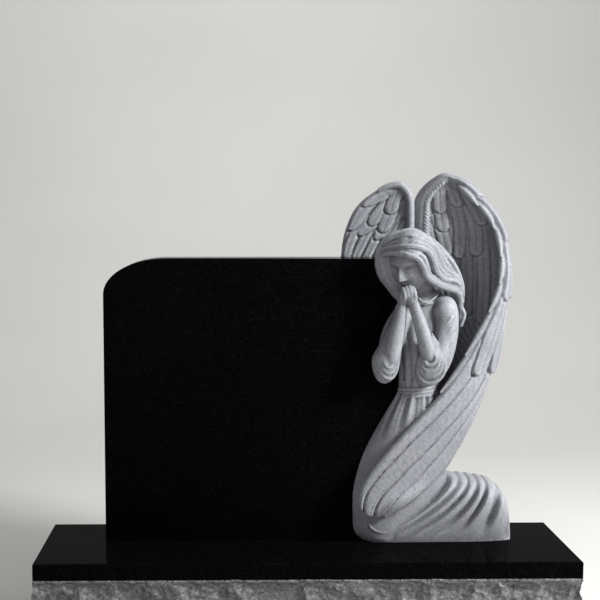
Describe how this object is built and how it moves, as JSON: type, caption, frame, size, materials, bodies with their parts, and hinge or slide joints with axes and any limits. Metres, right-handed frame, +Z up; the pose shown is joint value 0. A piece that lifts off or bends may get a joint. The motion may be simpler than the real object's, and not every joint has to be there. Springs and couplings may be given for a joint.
{
  "type": "angel headstone",
  "caption": "Upright granite headstone with a rounded shoulder and a kneeling winged angel carved at its right end, set on a rock-pitched base.",
  "frame": {"origin": "middle of the base's underside", "axes": "+X along the base towards the angel's end, +Y away from the viewer towards the back, +Z up"},
  "size_m": [1.53, 0.412, 1.2805],
  "materials": {
    "base_granite": "black granite, polished on top and on the margin, rock-pitched grey below it",
    "carved_granite": "black granite, polished black on the die's faces, left unpolished grey on the carving"
  },
  "bodies": {
    "root": {"base": "base_granite", "die_with_angel": "carved_granite"}
  },
  "joints": []
}
